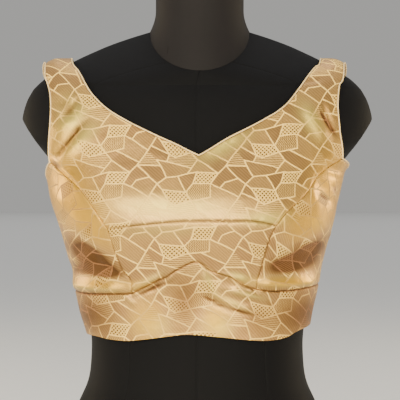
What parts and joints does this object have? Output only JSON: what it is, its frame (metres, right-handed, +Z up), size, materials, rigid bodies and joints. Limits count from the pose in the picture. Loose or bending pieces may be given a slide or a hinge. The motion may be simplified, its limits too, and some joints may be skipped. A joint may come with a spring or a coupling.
{
  "type": "sleeveless blouse on a limbless dress form",
  "caption": "Sleeveless fitted brocade blouse with a sweetheart V neckline and waistband, worn on a limbless dress form that stands on its flat base.",
  "frame": {"origin": "middle of the form's flat underside", "axes": "+Z up, the front of the blouse faces -Y, +X is to the right as seen from the front"},
  "size_m": [0.4114, 0.2514, 0.64],
  "materials": {
    "brocade": "pale gold satin brocade with a raised cream mosaic of straight lines",
    "piping": "pale gold satin piping",
    "form_cover": "smooth charcoal stretch cover",
    "neck_cover": "smooth charcoal stretch cover, slightly lighter"
  },
  "bodies": {
    "root": {"front_upper": "brocade", "front_lower": "brocade", "side_front_left": "brocade", "side_front_right": "brocade", "waistband_front": "brocade", "back_left": "brocade", "back_right": "brocade", "back_placket": "brocade", "neck_piping": "piping", "armhole_piping_left": "piping", "armhole_piping_right": "piping", "form_body": "form_cover", "form_neck": "neck_cover"}
  },
  "joints": []
}
